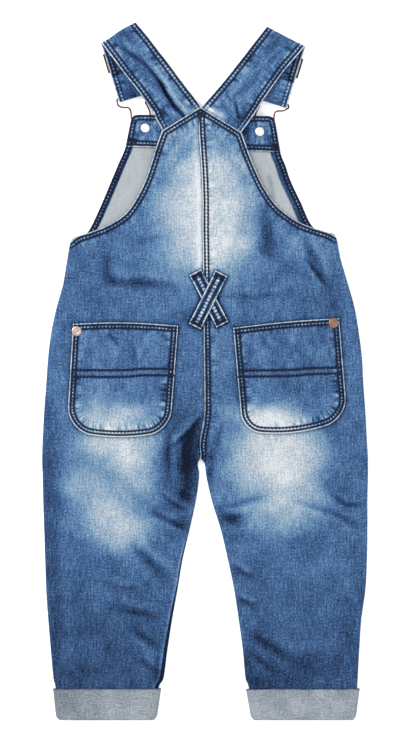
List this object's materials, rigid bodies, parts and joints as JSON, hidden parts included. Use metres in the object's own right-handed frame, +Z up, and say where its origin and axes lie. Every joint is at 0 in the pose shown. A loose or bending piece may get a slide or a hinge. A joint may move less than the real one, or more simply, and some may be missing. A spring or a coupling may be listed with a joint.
{
  "type": "kids dungarees",
  "caption": "Small child's denim dungarees laid flat with the back up: straps folded over at the shoulders, wire buckles, patch pockets, crossed tabs and turned-up hems.",
  "frame": {"origin": "the middle of the outline, on the surface that the garment lies on", "axes": "+X towards the wearer's right, +Y towards the shoulders, +Z up out of the garment's back"},
  "size_m": [0.319, 0.6823, 0.0094],
  "materials": {
    "denim": "stone-washed indigo denim, faded at the seat and thighs, sewn in dark navy thread",
    "denim_wrong_side": "the denim's pale grey wrong side",
    "copper_wire": "copper-plated steel wire",
    "copper_stud": "copper-plated pressed studs",
    "nickel_cap": "nickel-plated button back, brushed"
  },
  "bodies": {
    "root": {"back_left": "denim", "back_right": "denim", "bib": "denim_wrong_side", "bib_facing": "denim", "buckle_left": "copper_wire", "buckle_right": "copper_wire", "button_back_left": "nickel_cap", "button_back_right": "nickel_cap", "button_left": "copper_stud", "button_right": "copper_stud", "front_leg_left": "denim", "front_leg_right": "denim", "pocket_left": "denim", "pocket_right": "denim", "rivet_left": "copper_stud", "rivet_right": "copper_stud", "slider_bar_left": "copper_wire", "slider_bar_right": "copper_wire", "slider_left": "copper_wire", "slider_right": "copper_wire", "strap_left": "denim", "strap_right": "denim", "tab_over": "denim", "tab_under": "denim", "turn_up_left": "denim_wrong_side", "turn_up_right": "denim_wrong_side"}
  },
  "joints": []
}
